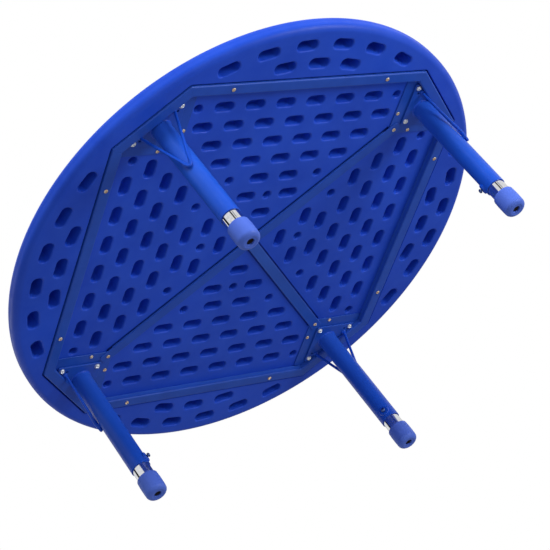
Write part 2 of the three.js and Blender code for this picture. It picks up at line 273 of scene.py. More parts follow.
def catmull(points, steps):
    """A smooth path through points."""
    points = [Vector(p) for p in points]
    ends = [points[0] * 2 - points[1]] + points + [points[-1] * 2 - points[-2]]
    path = []
    for a, b, c, d in zip(ends, ends[1:], ends[2:], ends[3:]):
        for i in range(steps):
            t = i / steps
            path.append(0.5 * (2 * b + (c - a) * t + (2 * a - 5 * b + 4 * c - d) * t * t
                               + (3 * b - a - 3 * c + d) * t ** 3))
    return path + [points[-1]]


def rod(bm, path, radius, steps=14):
    """A round rod along a path."""
    side = (path[1] - path[0]).orthogonal().normalized()
    rings = []
    for i, p in enumerate(path):
        along = (path[min(i + 1, len(path) - 1)] - path[max(i - 1, 0)]).normalized()
        side = (side - along * side.dot(along)).normalized()
        up = along.cross(side)
        angles = [math.tau * k / steps for k in range(steps)]
        rings.append([p + side * radius * math.cos(a) + up * radius * math.sin(a) for a in angles])
    loft(bm, rings, True, True)


def lump(bm, centre, size):
    """A rounded blob of weld."""
    place = Matrix.Translation(centre) @ Matrix.Diagonal((*size, 1))
    bmesh.ops.create_icosphere(bm, subdivisions=3, radius=1, matrix=place)


# ---------------------------------------------------------------- materials

def srgb(r, g, b):
    """A display colour, 0 to 255, as the linear colour a shader takes."""
    def one(v):
        v /= 255
        return v / 12.92 if v <= 0.04045 else ((v + 0.055) / 1.055) ** 2.4
    return (one(r), one(g), one(b), 1)


class Shading:
    """One material's nodes, with short calls for the ones used here."""

    def __init__(self, name):
        self.material = bpy.data.materials.new(name)
        self.material.use_nodes = True
        self.tree = self.material.node_tree
        self.tree.nodes.clear()
        out = self.tree.nodes.new("ShaderNodeOutputMaterial")
        self.shader = self.tree.nodes.new("ShaderNodeBsdfPrincipled")
        self.link(self.shader.outputs[0], out.inputs[0])
        self.place = self.tree.nodes.new("ShaderNodeTexCoord").outputs["Object"]
        self.geometry = self.tree.nodes.new("ShaderNodeNewGeometry")

    def link(self, source, target):
        if isinstance(source, bpy.types.NodeSocket):
            self.tree.links.new(source, target)
        else:
            target.default_value = source

    def noise(self, scale, detail=3.0, rough=0.5, stretch=(1, 1, 1)):
        mapping = self.tree.nodes.new("ShaderNodeMapping")
        mapping.inputs["Scale"].default_value = stretch
        self.link(self.place, mapping.inputs["Vector"])
        node = self.tree.nodes.new("ShaderNodeTexNoise")
        self.link(mapping.outputs[0], node.inputs["Vector"])
        node.inputs["Scale"].default_value = scale
        node.inputs["Detail"].default_value = detail
        node.inputs["Roughness"].default_value = rough
        return node.outputs["Fac"]

    def cells(self, scale, feature="F1"):
        node = self.tree.nodes.new("ShaderNodeTexVoronoi")
        node.feature = feature
        self.link(self.place, node.inputs["Vector"])
        node.inputs["Scale"].default_value = scale
        return node.outputs["Distance"]

    def span(self, value, low, high, to_low=0.0, to_high=1.0):
        node = self.tree.nodes.new("ShaderNodeMapRange")
        self.link(value, node.inputs["Value"])
        node.inputs["From Min"].default_value = low
        node.inputs["From Max"].default_value = high
        node.inputs["To Min"].default_value = to_low
        node.inputs["To Max"].default_value = to_high
        return node.outputs["Result"]

    def mix(self, factor, a, b):
        node = self.tree.nodes.new("ShaderNodeMix")
        node.data_type = "RGBA"
        self.link(factor, node.inputs["Factor"])
        self.link(a, node.inputs["A"] if "A" in node.inputs else node.inputs[6])
        self.link(b, node.inputs["B"] if "B" in node.inputs else node.inputs[7])
        return node.outputs[2]

    def sum(self, a, b, operation="ADD"):
        node = self.tree.nodes.new("ShaderNodeMath")
        node.operation = operation
        self.link(a, node.inputs[0])
        self.link(b, node.inputs[1])
        return node.outputs[0]

    def bump(self, height, distance, under=None):
        node = self.tree.nodes.new("ShaderNodeBump")
        self.link(height, node.inputs["Height"])
        node.inputs["Distance"].default_value = distance
        if under is not None:
            self.link(under, node.inputs["Normal"])
        return node.outputs["Normal"]

    def edges(self, low, high):
        """Near 1 on convex edges."""
        return self.span(self.geometry.outputs["Pointiness"], low, high)

    def done(self, colour, roughness, normal, **fixed):
        self.link(colour, self.shader.inputs["Base Color"])
        self.link(roughness, self.shader.inputs["Roughness"])
        self.link(normal, self.shader.inputs["Normal"])
        for name, value in fixed.items():
            self.shader.inputs[name.replace("_", " ")].default_value = value
        return self.material


def moulded_plastic(name, colour, shade, pale, grain, waves):
    """Blow-moulded plastic: soft waves from the mould, fine grain, paler worn edges."""
    s = Shading(name)
    broad = s.span(s.noise(5, 2), 0.35, 0.65)
    streaks = s.span(s.noise(26, 4, 0.6, (1, 1, 0.3)), 0.35, 0.75)
    tone = s.mix(broad, shade, colour)
    tone = s.mix(s.sum(streaks, 0.16, "MULTIPLY"), tone, pale)
    tone = s.mix(s.sum(s.edges(0.52, 0.60), 0.35, "MULTIPLY"), tone, pale)
    specks = s.span(s.noise(420, 2), 0.62, 0.78)
    tone = s.mix(s.sum(specks, 0.10, "MULTIPLY"), tone, pale)
    normal = s.bump(s.noise(38, 2), waves)
    normal = s.bump(s.cells(1100, "SMOOTH_F1"), grain, normal)
    normal = s.bump(s.noise(300, 3, 0.6), grain * 0.8, normal)
    roughness = s.span(s.noise(60, 4, 0.6), 0.3, 0.7, 0.36, 0.50)
    return s.done(tone, roughness, normal, Specular_IOR_Level=0.18)


def powder_coat(name, colour, shade, pale, gloss):
    """Powder-coated steel: orange peel, slight mottle, rubbed edges."""
    s = Shading(name)
    mottle = s.span(s.noise(14, 4, 0.6), 0.3, 0.7)
    tone = s.mix(mottle, shade, colour)
    tone = s.mix(s.sum(s.edges(0.52, 0.62), 0.45, "MULTIPLY"), tone, pale)
    scuffs = s.span(s.noise(90, 6, 0.7, (1, 1, 0.15)), 0.66, 0.80)
    tone = s.mix(s.sum(scuffs, 0.25, "MULTIPLY"), tone, pale)
    normal = s.bump(s.noise(240, 2), 0.02 * MM)
    normal = s.bump(s.noise(900, 2), 0.004 * MM, normal)
    roughness = s.span(s.noise(45, 4), 0.3, 0.7, gloss - 0.05, gloss + 0.08)
    return s.done(tone, roughness, normal, Specular_IOR_Level=0.26)


def plated(name, colour, tint, low, high, stretch=(1, 1, 1), relief=0.01 * MM):
    """Plated metal: fine scratches, cloudy tint, a little unevenness."""
    s = Shading(name)
    cloud = s.span(s.noise(220, 4, 0.6), 0.35, 0.7)
    tone = s.mix(cloud, colour, tint)
    dirt = s.span(s.noise(700, 3, 0.7), 0.60, 0.75)
    tone = s.mix(s.sum(dirt, 0.35, "MULTIPLY"), tone, tint)
    scratches = s.noise(900, 5, 0.7, stretch)
    normal = s.bump(scratches, relief)
    roughness = s.span(scratches, 0.3, 0.7, low, high)
    return s.done(tone, roughness, normal, Metallic=1.0)


MATERIALS = {
    "moulded_top": moulded_plastic(
        "moulded_plastic", srgb(33, 79, 208), srgb(27, 71, 195), srgb(62, 106, 222), 0.02 * MM, 0.25 * MM),
    "foot_cap": moulded_plastic(
        "cap_plastic", srgb(84, 115, 216), srgb(76, 107, 208), srgb(110, 136, 224), 0.02 * MM, 0.05 * MM),
    "frame_paint": powder_coat(
        "frame_powder_coat", srgb(30, 80, 188), srgb(24, 70, 172), srgb(70, 116, 206), 0.40),
    "leg_paint": powder_coat(
        "leg_powder_coat", srgb(12, 76, 200), srgb(10, 68, 188), srgb(62, 114, 218), 0.36),
    "chrome": plated(
        "chrome_plate", (0.84, 0.85, 0.87, 1), (0.66, 0.68, 0.72, 1), 0.04, 0.10,
        stretch=(1, 1, 0.05), relief=0.0015 * MM),
    "bright_zinc": plated("bright_zinc_plate", (0.80, 0.82, 0.84, 1), (0.55, 0.58, 0.62, 1), 0.22, 0.40),
    "yellow_zinc": plated("yellow_zinc_plate", srgb(212, 204, 188), srgb(204, 158, 116), 0.25, 0.45),
    # The cap screw's near-black colour is partly a dark screw finish and partly the shade of the deep hole
    # it sits in, painted into the screw.
    "bronze_screw": plated("dark_screw_finish_with_painted_hole_shade", srgb(46, 38, 38), srgb(18, 18, 24), 0.35, 0.55),
    "lock_screw": plated("dark_plate", srgb(84, 106, 160), srgb(44, 58, 96), 0.30, 0.48),
}


def piece(name, bm, slot, body=TABLE, stands_for=(), turn=None, sharp=38):
    """Turns a mesh in progress into a finished piece that rides on a CAD body."""
    if turn is not None:
        bmesh.ops.transform(bm, matrix=turn, verts=bm.verts)
    bmesh.ops.remove_doubles(bm, verts=bm.verts, dist=1e-6)
    bmesh.ops.recalc_face_normals(bm, faces=bm.faces)
    mesh = bpy.data.meshes.new(name)
    bm.to_mesh(mesh)
    bm.free()
    mesh.shade_smooth()
    mesh.set_sharp_from_angle(angle=math.radians(sharp))
    mesh.materials.append(MATERIALS[slot])
    obj = bpy.data.objects.new(name, mesh)
    bpy.context.scene.collection.objects.link(obj)
    weighted = obj.modifiers.new("weighted_normals", "WEIGHTED_NORMAL")
    weighted.keep_sharp = True
    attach(obj, body)
    if stands_for:
        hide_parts(*stands_for)
    return obj


def quarter(k):
    return Matrix.Rotation(k * math.pi / 2, 4, "Z")


def leg_place(k):
    """Puts a leg drawn about the Z axis, outward side along +X, in corner k."""
    return quarter(k) @ Matrix.Translation((LEG_XY, LEG_XY, 0)) @ Matrix.Rotation(math.pi / 4, 4, "Z")


# ---------------------------------------------------------------- the moulded top

def recess_rows():
    """The pattern between the rails, for one side: (place along the row, row number, size)."""
    rows = (
        ((0.5, 1.5, 2.5), (3.33,)), ((0, 1, 2, 3), ()), ((0.5, 1.5, 2.5), ()), ((0, 1, 2), ()),
        ((0.5,), (1.5,)), ((0.72,), (0,)), ((0,), ()),
    )
    for number, (slots, dots) in enumerate(rows):
        for places, size in ((slots, SLOT), (dots, DOT)):
            for place in places:
                for sign in ((-1, 1) if place else (1,)):
                    yield place * sign, number, size


def bed_recesses():
    pitch, row_pitch, first = FRAME_HALF * 0.1742, FRAME_HALF * 0.1112, FRAME_HALF * 0.8497
    for side in range(4):
        turn = side * math.pi / 2
        for place, number, size in recess_rows():
            x, y = placed([(first - number * row_pitch, place * pitch)], 0, 0, turn)[0]
            yield x, y, turn + math.pi / 2, size


def ring_recesses():
    for side in range(4):
        turn = side * math.pi / 2
        for inset, angles in ((44 * MM, (5, 15, 25, -5, -15, -25)), (91.2 * MM, (0, 10, -10))):
            for angle in angles:
                a = turn + math.radians(angle)
                radius = RADIUS - inset
                yield radius * math.cos(a), radius * math.sin(a), a + math.pi / 2, RING_SLOT


def recess(bm, x, y, angle, size, mouth):
    """A cup pressed up from a level of the underside to the top's inner face. Returns its lip."""
    floor = Z_TOP - FLOOR_SKIN
    foot = 4.5 * MM
    draft = 1.6 * MM
    steps = [(i - SLOT_LIP, mouth + d) for i, d in zip(
        [SLOT_LIP * math.sin(math.radians(15 * k)) for k in range(7)],
        [SLOT_LIP * (1 - math.cos(math.radians(15 * k))) for k in range(7)])]
    steps += [(draft + foot * (1 - math.cos(math.radians(22.5 * k))),
               floor - foot * (1 - math.sin(math.radians(22.5 * k)))) for k in range(5)]
    length, width = size
    corner = 0.45 * width
    rings = []
    for inset, z in steps:
        shape = rounded_box(length - 2 * inset, width - 2 * inset, max(corner - inset, 2 * MM))
        rings.append(level(placed(shape, x, y, angle), z))
    loft(bm, rings, False, True)
    return rings[0]


def bar_groove():
    """Outline of the crossed groove that the cross bars lie in."""
    half = RAIL_WIDTH / 2 + GROOVE_CLEARANCE
    far = SHEET_IN * SQ2 + 10 * MM
    quarter_turn = [(half, -half), (far, -half), (far, half)]
    return [p for k in range(4) for p in placed(quarter_turn, 0, 0, math.pi / 4 + k * math.pi / 2)]


def moulded_top():
    bm = bmesh.new()
    around = 256
    flat = RADIUS - EDGE_RADIUS
    seam = (Z_RING + Z_TOP) / 2
    rim = [(flat + p.x, Z_RING + EDGE_RADIUS + p.y) for p in arc((0, 0), EDGE_RADIUS, -90, 0, 9)]
    rim += [(RADIUS, seam - 0.7 * MM), (RADIUS - 0.3 * MM, seam), (RADIUS, seam + 0.7 * MM)]
    rim += [(flat + p.x, Z_TOP - EDGE_RADIUS + p.y) for p in arc((0, 0), EDGE_RADIUS, 0, 90, 9)]
    rim += [(RADIUS * share, Z_TOP) for share in (0.85, 0.6, 0.3)]
    turned(bm, rim, around, False, True)
    step = round_corners(octagon(FRAME_HALF + BED_CLEARANCE, CORNER_CUT + BED_CLEARANCE), 7 * MM)
    lip, foot = 2.2 * MM, 1.2 * MM
    down = [(lip * (1 - math.sin(math.radians(18 * k))),
             Z_RING + lip * (1 - math.cos(math.radians(18 * k)))) for k in range(6)]
    down += [(-0.6 * MM - foot * (1 - math.cos(math.radians(30 * k))),
              Z_BED - foot * (1 - math.sin(math.radians(30 * k)))) for k in range(4)]
    loft(bm, [level(offset(step, out), z) for out, z in down])
    ring_lips = [recess(bm, *place, Z_RING) for place in ring_recesses()]
    bed_lips = [recess(bm, *place, Z_BED) for place in bed_recesses()]
    fill(bm, [circle(flat, around), offset(step, down[0][0])] + ring_lips, Z_RING)
    groove = bar_groove()
    steps = ((1.0 * MM, 0), (0.3 * MM, 0.3 * MM), (0, 1.0 * MM), (0, GROOVE_DEPTH))
    side = [(out, Z_BED + depth) for out, depth in steps]
    loft(bm, [level(offset(groove, out), z) for out, z in side])
    fill(bm, [groove], Z_BED + GROOVE_DEPTH)
    fill(bm, [offset(step, down[-1][0]), offset(groove, side[0][0])] + bed_lips, Z_BED)
    piece("moulded_table_top", bm, "moulded_top", stands_for=("table_top",), sharp=50)


# ---------------------------------------------------------------- the underframe

def channel_section(width, low, high, bend):
    """A channel open upwards, as (distance across, height), its two bends rounded."""
    inner = max(bend - SHEET, 0.5 * MM)
    outer_bends = (arc((bend, low + bend), bend, 180, 270, 5)
                   + arc((width - bend, low + bend), bend, 270, 360, 5))
    corner = SHEET + inner
    inner_bends = (arc((width - corner, low + corner), inner, 360, 270, 4)
                   + arc((corner, low + corner), inner, 270, 180, 4))
    return ([(0, high)] + outer_bends + [(width, high), (width - SHEET, high)] + inner_bends
            + [(SHEET, high)])


def rail(bm, angle, apothem, half_length):
    """A length of channel square to a direction, with both ends mitred to meet the next side."""
    slope = math.tan(math.pi / 8)
    out = Vector((math.cos(angle), math.sin(angle), 0))
    along = Vector((-out.y, out.x, 0))
    section = channel_section(RAIL_WIDTH, Z_RAIL, Z_STEEL, 3.4 * MM)
    rings = []
    for end in (-1, 1):
        for back in ((0, 0.7 * MM) if end < 0 else (0.7 * MM, 0)):
            far = half_length - 0.5 * GAP - back
            rings.append([out * (apothem - u) + along * end * (far - slope * u) + Vector((0, 0, z))
                          for u, z in section])
    loft(bm, rings, True, True)


def rails():
    vertex = CORNER_CUT * SQ2 - FRAME_HALF
    for k, side in enumerate(SIDES):
        bm = bmesh.new()
        rail(bm, k * math.pi / 2, FRAME_HALF, vertex)
        piece(f"frame_rail_{side}", bm, "frame_paint", stands_for=(f"side_rail_{side}",))


def corner_brackets():
    """Per corner: the truncated rail, and the sheet whose two arms reach along the sides."""
    half = (FRAME_HALF - (CORNER_CUT * SQ2 - FRAME_HALF)) / SQ2
    end = FRAME_HALF - RAIL_WIDTH - 0.6 * MM
    turn = (CORNER_CUT - RAIL_WIDTH) * SQ2 + SHEET / 2 - end
    bend = 10 * MM
    outline = (
        [Vector((SHEET_IN, SHEET_IN))] + arc((end - bend, SHEET_IN + bend), bend, -90, 0, 8)
        + [Vector((end, turn)), Vector((turn, end))]
        + arc((SHEET_IN + bend, end - bend), bend, 90, 180, 8)
    )
    for k, corner in enumerate(CORNERS):
        bm = bmesh.new()
        rail(bm, math.pi / 4, CORNER_CUT, half)
        piece(f"corner_rail_{corner}", bm, "frame_paint", turn=quarter(k),
              stands_for=(f"corner_bracket_{corner}",))
        bm = bmesh.new()
        slab(bm, outline, Z_SHEET, Z_STEEL, 0.6 * MM)
        piece(f"corner_sheet_{corner}", bm, "frame_paint", turn=quarter(k))


def cross_bar(name, node, start, angle):
    """A shallow channel along +X with its flanges run out into a flat tongue at each far end."""
    half = RAIL_WIDTH / 2
    web = Z_SHEET - GAP
    bend = 1.6 * MM
    end = PLATE_IN * SQ2 - 2.5 * MM
    flange_end = SHEET_IN * SQ2 - 2 * MM
    corner = 6 * MM

    def section(x, width, flange):
        edge = [(-width, flange)] + list(arc((-width + bend, Z_WEB + bend), bend, 180, 270, 4))
        edge += list(arc((width - bend, Z_WEB + bend), bend, 270, 360, 4)) + [(width, flange)]
        edge += [(width - SHEET, flange), (width - SHEET, web)]
        edge += [(-width + SHEET, web), (-width + SHEET, flange)]
        return [Vector((x, p[0], p[1])) for p in edge]

    flat = web + 0.02 * MM
    far = [(flange_end - 5 * MM, half, Z_STEEL), (flange_end, half, flat), (end - corner, half, flat)]
    for share in (0.5, 0.8, 0.95, 1):
        width = half - corner * (1 - math.sqrt(1 - share * share))
        far.append((end - corner + corner * share, width, flat))
    if start < 0:
        rings = [(-x, w, z) for x, w, z in far[::-1]] + far
    else:
        rings = [(start, half, Z_STEEL)] + far
    bm = bmesh.new()
    loft(bm, [section(*ring) for ring in rings], True, True)
    piece(name, bm, "frame_paint", turn=Matrix.Rotation(angle, 4, "Z"), stands_for=(node,), sharp=45)


def cross_bars():
    cross_bar("cross_channel_long", "cross_bar_long", -1, -math.pi / 4)
    begin = RAIL_WIDTH / 2 + GAP
    cross_bar("cross_channel_rear", "cross_bar_half_rear", begin, math.pi / 4)
    cross_bar("cross_channel_front", "cross_bar_half_front", begin, -3 * math.pi / 4)


# ---------------------------------------------------------------- screws and bolts

def cross_head(bm, radius, height, place, arm=0.75 * MM, depth=1.1 * MM):
    """A domed screw head with a cross recess, drawn up from z = 0."""
    around = 40
    shares = (0, 0.12, 0.22, 0.32, 0.44, 0.56, 0.64, 0.72, 0.82, 0.9, 0.96, 1)
    span = radius * 0.62
    rings = []
    for share in shares[:0:-1]:
        ring = []
        for k in range(around):
            a = math.tau * (k + 0.5) / around
            x, y = share * radius * math.cos(a), share * radius * math.sin(a)
            z = height * (0.35 + 0.65 * math.sqrt(max(1 - share ** 2.4, 0)))
            if min(abs(x), abs(y)) < arm and max(abs(x), abs(y)) < span:
                z -= depth
            ring.append(place @ Vector((x, y, z)))
        rings.append(ring)
    foot = [place @ Vector((radius * math.cos(math.tau * (k + 0.5) / around),
                            radius * math.sin(math.tau * (k + 0.5) / around), 0)) for k in range(around)]
    loft(bm, [foot] + rings, True, True)


def facing_down(x, y, z):
    return Matrix.Translation((x, y, z)) @ Matrix.Rotation(math.pi, 4, "X")


def rail_screws():
    for side in SIDES:
        for number in (1, 2):
            node = f"rail_screw_{side}_{number}"
            at = middle(node)
            bm = bmesh.new()
            cross_head(bm, 4.6 * MM, 2.4 * MM, facing_down(at.x, at.y, Z_RAIL))
            piece(f"pan_screw_{side}_{number}", bm, "yellow_zinc", stands_for=(node,))


def sheet_screws():
    """Three small screws a corner: one in each sheet arm and one in the cross bar's tongue."""
    near, far = SHEET_IN + 7 * MM, PLATE_IN + 29 * MM
    tongue = (SHEET_IN + PLATE_IN) / 2 - 1 * MM
    places = ((near, far, Z_SHEET), (far, near, Z_SHEET), (tongue, tongue, Z_WEB))
    for k, corner in enumerate(CORNERS):
        for number, (x, y, z) in enumerate(places, 1):
            bm = bmesh.new()
            cross_head(bm, 4.4 * MM, 2.2 * MM, facing_down(x, y, z))
            piece(f"sheet_screw_{corner}_{number}", bm, "yellow_zinc", turn=quarter(k))


def leg_bolts():
    washer = [(r * MM, z * MM) for r, z in ((2, 0), (6, 0), (6.3, 0.3), (6.1, 0.9), (4, 1))]
    for corner in CORNERS:
        for number in (1, 2, 3):
            node = f"leg_bolt_{corner}_{number}"
            at = middle(node)
            bm = bmesh.new()
            turned(bm, washer, 40, True, True)
            bmesh.ops.transform(bm, matrix=facing_down(at.x, at.y, Z_PLATE), verts=bm.verts)
            cross_head(bm, 5.2 * MM, 3.4 * MM, facing_down(at.x, at.y, Z_PLATE - 0.8 * MM), 0.9 * MM)
            piece(f"hex_bolt_{corner}_{number}", bm, "bright_zinc", stands_for=(node,))


# ---------------------------------------------------------------- legs

def leg_plates():
    tip = 7 * MM
    far = PLATE_FAR
    corners = [
        (PLATE_IN, PLATE_IN), (far, PLATE_IN), (far, PLATE_IN + tip),
        (PLATE_IN + tip, far), (PLATE_IN, far),
    ]
    outline = round_corners(corners, 3.2 * MM)
    near, deep = PLATE_IN + 14 * MM, PLATE_IN + 83 * MM
    for k, corner in enumerate(CORNERS):
        bm = bmesh.new()
        slab(bm, outline, Z_PLATE, Z_PLATE_TOP, 0.9 * MM, ((deep, near, 3 * MM), (near, deep, 3 * MM)))
        piece(f"leg_mount_{corner}", bm, "frame_paint", turn=quarter(k),
              stands_for=(f"leg_plate_{corner}",))


def leg_tubes():
    """Per corner: the painted outer tube with its boss, and the weld that joins it to the plate."""
    low, high = TUBE_LOW.z, TUBE_HIGH.z
    outer, inner = TUBE_RADIUS, TUBE_RADIUS - TUBE_WALL
    lip = 0.8 * MM
    wall = [(inner, high), (inner, low + lip)]
    wall += [(inner + lip + p.x, low + lip + p.y) for p in arc((0, 0), lip, 180, 270, 3)]
    wall += [(outer - lip + p.x, low + lip + p.y) for p in arc((0, 0), lip, 270, 360, 3)]
    wall += [(outer, high), (inner, high)]
    boss = [(12.6, 16.5), (12.2, 20), (11.6, 23.4), (10.8, 24.6), (9.6, 25.2), (6.4, 25.3), (5.8, 25.0),
            (3.6, 25.0), (3.5, 20)]
    for k, corner in enumerate(CORNERS):
        bm = bmesh.new()
        turned(bm, [(r * MM, d * MM) for r, d in boss], 48)
        inward = Matrix.Translation((0, 0, Z_LOCK)) @ Matrix.Rotation(-math.pi / 2, 4, "Y")
        bmesh.ops.transform(bm, matrix=inward, verts=bm.verts)
        turned(bm, wall, 72)
        piece(f"outer_tube_{corner}", bm, "leg_paint", turn=leg_place(k),
              stands_for=(f"leg_outer_tube_{corner}",))
        bm = bmesh.new()
        rings = []
        for step in range(6):
            t = math.radians(18 * step)
            ring = []
            for i in range(160):
                a = math.tau * i / 160
                beads = 0.25 * MM * math.sin(34 * a + 0.7 * math.sin(5 * a + k))
                sway = 0.2 * MM * math.sin(3 * a + k)
                size = 4.2 * MM + (beads + sway)
                r = outer + size * (1 - math.sin(t)) - 0.3 * MM
                z = Z_PLATE + 0.2 * MM - size * (1 - math.cos(t))
                ring.append(Vector((r * math.cos(a), r * math.sin(a), z)))
            rings.append(ring)
        loft(bm, rings)
        piece(f"leg_weld_{corner}", bm, "leg_paint", turn=leg_place(k), sharp=70)


def height_holes(obj):
    """Drills the row of height holes through the inner wall side of one tube."""
    bm = bmesh.new()
    for number in range(HEIGHT_HOLES):
        place = Matrix.Translation((-INNER_RADIUS, 0, Z_LOCK + number * HOLE_PITCH))
        bmesh.ops.create_cone(bm, cap_ends=True, segments=24, radius1=HOLE_RADIUS, radius2=HOLE_RADIUS,
                              depth=12 * MM, matrix=place @ Matrix.Rotation(math.pi / 2, 4, "Y"))
    mesh = bpy.data.meshes.new("drill")
    bm.to_mesh(mesh)
    bm.free()
    drill = bpy.data.objects.new("drill", mesh)
    bpy.context.scene.collection.objects.link(drill)
    cut = obj.modifiers.new("holes", "BOOLEAN")
    cut.operation = "DIFFERENCE"
    cut.object = drill
    bpy.context.view_layer.update()
    made = bpy.data.meshes.new_from_object(obj.evaluated_get(bpy.context.evaluated_depsgraph_get()))
    obj.modifiers.clear()
    obj.data = made
    bpy.data.objects.remove(drill)


def inner_tube_mesh():
    """One chrome tube about the Z axis, its height holes facing -X."""
    low, high = INNER_LOW.z, INNER_HIGH.z
    r, bore = INNER_RADIUS, INNER_RADIUS - TUBE_WALL
    bevel = 0.6 * MM
    profile = [(bore, low), (r, low), (r, high - bevel), (r - bevel, high), (bore, high), (bore, low)]
    bm = bmesh.new()
    turned(bm, profile, 72)
    bmesh.ops.remove_doubles(bm, verts=bm.verts, dist=1e-6)
    bmesh.ops.recalc_face_normals(bm, faces=bm.faces)
    mesh = bpy.data.meshes.new("drilled_tube")
    bm.to_mesh(mesh)
    bm.free()
    obj = bpy.data.objects.new("drilled_tube", mesh)
    bpy.context.scene.collection.objects.link(obj)
    height_holes(obj)
    made = obj.data
    bpy.data.objects.remove(obj)
    return made


def inner_tubes():
    mesh = inner_tube_mesh()
    for k, corner in enumerate(CORNERS):
        bm = bmesh.new()
        bm.from_mesh(mesh)
        piece(f"inner_tube_{corner}", bm, "chrome", f"leg_{corner}",
              (f"leg_inner_tube_{corner}",), leg_place(k), 30)


def foot_caps():
    """Barrel-shaped caps with a rounded bottom edge and a hole that shows the fixing screw."""
    top = CAP_HIGH.z
    R = CAP_RADIUS
    profile = [(3 * MM, 5 * MM), (8.3 * MM, 5 * MM), (8.4 * MM, 1.2 * MM), (8.9 * MM, 0.8 * MM)]
    profile += [(13.2 * MM, 0.8 * MM), (13.9 * MM, 0.2 * MM)]
    profile += list(arc((R - 0.3 * MM - CAP_EDGE, CAP_EDGE), CAP_EDGE, -90, 0, 8))
    profile += [(R, 18 * MM), (R + 0.1 * MM, 28 * MM), (R, 37 * MM), (R - 0.5 * MM, top - 5 * MM)]
    profile += list(arc((R - 2.7 * MM, top - CAP_LIP), CAP_LIP, 10, 90, 5))
    profile += [(INNER_RADIUS + 0.4 * MM, top), (INNER_RADIUS + 0.3 * MM, top - 1 * MM),
                (INNER_RADIUS + 0.3 * MM, 9 * MM), (3 * MM, 9 * MM), (3 * MM, 5 * MM)]
    for k, corner in enumerate(CORNERS):
        body = f"leg_{corner}"
        bm = bmesh.new()
        turned(bm, profile, 72)
        piece(f"barrel_cap_{corner}", bm, "foot_cap", body, (f"foot_cap_{corner}",), leg_place(k), 50)
        bm = bmesh.new()
        # The screw's dark material paints in the shade of the hole it sits at the bottom of.
        cross_head(bm, 7.7 * MM, 1.8 * MM, facing_down(0, 0, 4.9 * MM), 0.8 * MM)
        piece(f"cap_screw_{corner}", bm, "bronze_screw", body, (f"foot_screw_{corner}",), leg_place(k))


def leg_braces():
    """A bent rod in a V: two arms from the leg plate to a rounded tip on the tube's outer side."""
    top, tip = Z_PLATE - GAP, BRACE_LOW.z + BRACE_ROD
    out = CORNER_CUT - RAIL_WIDTH - BRACE_ROD - BRACE_CLEARANCE - LEG_OUT
    hug = TUBE_RADIUS + BRACE_ROD + 0.6 * MM
    wide = BRACE_HALF_WIDTH

    def arm(side):
        return [
            (out, side * wide, top),
            (out - 0.4 * MM, side * (wide - 0.6 * MM), top - 7 * MM),
            ((out + hug) / 2, side * wide * 0.56, (top + tip) / 2),
            (hug + 0.8 * MM, side * 10 * MM, tip + 22 * MM),
            (hug + 0.2 * MM, side * 6 * MM, tip + 7 * MM),
        ]

    path = catmull(arm(1) + [(hug, 0, tip)] + arm(-1)[::-1], 8)
    for k, corner in enumerate(CORNERS):
        bm = bmesh.new()
        rod(bm, path, BRACE_ROD)
        for side in (-1, 1):
            lump(bm, Vector((out, side * wide, top - 0.6 * MM)), (5.2 * MM, 6.4 * MM, 3.0 * MM))
            lump(bm, Vector((hug - 2.4 * MM, side * 5.2 * MM, tip + 9 * MM)), (2.6 * MM, 3.2 * MM, 6 * MM))
        piece(f"bent_brace_{corner}", bm, "leg_paint", turn=leg_place(k),
              stands_for=(f"leg_brace_{corner}",), sharp=60)


def lock_screws():
    """A dark round-headed screw in each boss, pointing at the middle of the table."""
    neck = TUBE_RADIUS + 3.4 * MM
    shank = [(2.4 * MM, TUBE_RADIUS - TUBE_WALL + 0.1 * MM), (3 * MM, TUBE_RADIUS - TUBE_WALL + 0.7 * MM)]
    for turn in range(1, 8):
        at = shank[1][1] + turn * 0.6 * MM
        shank += [(3 * MM, at), (2.7 * MM, at + 0.3 * MM)]
    shank += [(3 * MM, neck + 1.6 * MM), (4.4 * MM, neck + 2 * MM)]
    for k, corner in enumerate(CORNERS):
        bm = bmesh.new()
        turned(bm, shank, 32, True, True)
        cross_head(bm, 4.8 * MM, 5.2 * MM, Matrix.Translation((0, 0, neck + 2 * MM)), 0.8 * MM, 1.4 * MM)
        inward = Matrix.Translation((0, 0, Z_LOCK)) @ Matrix.Rotation(-math.pi / 2, 4, "Y")
        piece(f"lock_screw_{corner}", bm, "lock_screw", f"lock_{corner}", (f"height_lock_screw_{corner}",),
              leg_place(k) @ inward)


moulded_top()
rails()
corner_brackets()
cross_bars()
rail_screws()
sheet_screws()
leg_bolts()
leg_plates()
leg_tubes()
inner_tubes()
foot_caps()
leg_braces()
lock_screws()


# ---------------------------------------------------------------- floor, light and camera

def studio_floor():
    """A pale floor with a faint light of its own. From below it is clear, so the underside shows."""
    bm = bmesh.new()
    bmesh.ops.create_circle(bm, cap_ends=True, segments=96, radius=FLOOR_RADIUS)
    bmesh.ops.recalc_face_normals(bm, faces=bm.faces)
    mesh = bpy.data.meshes.new("studio_floor")
    bm.to_mesh(mesh)
    bm.free()
    floor = bpy.data.objects.new("studio_floor", mesh)
    bpy.context.scene.collection.objects.link(floor)
    s = Shading("floor_paint")
    tone = s.mix(s.noise(1.5, 3), srgb(232, 233, 235), srgb(240, 241, 242))
    s.link(tone, s.shader.inputs["Emission Color"])
    s.done(tone, s.span(s.noise(4, 3), 0.3, 0.7, 0.6, 0.75), s.bump(s.noise(120, 3), 0.02 * MM),
           Emission_Strength=FLOOR_GLOW)
    clear = s.tree.nodes.new("ShaderNodeBsdfTransparent")
    either = s.tree.nodes.new("ShaderNodeMixShader")
    out = next(n for n in s.tree.nodes if n.type == "OUTPUT_MATERIAL")
    s.link(s.geometry.outputs["Backfacing"], either.inputs[0])
    s.link(s.shader.outputs[0], either.inputs[1])
    s.link(clear.outputs[0], either.inputs[2])
    s.link(either.outputs[0], out.inputs["Surface"])
    mesh.materials.append(s.material)
    floor.visible_shadow = False
    floor.visible_diffuse = False
    floor.visible_glossy = False


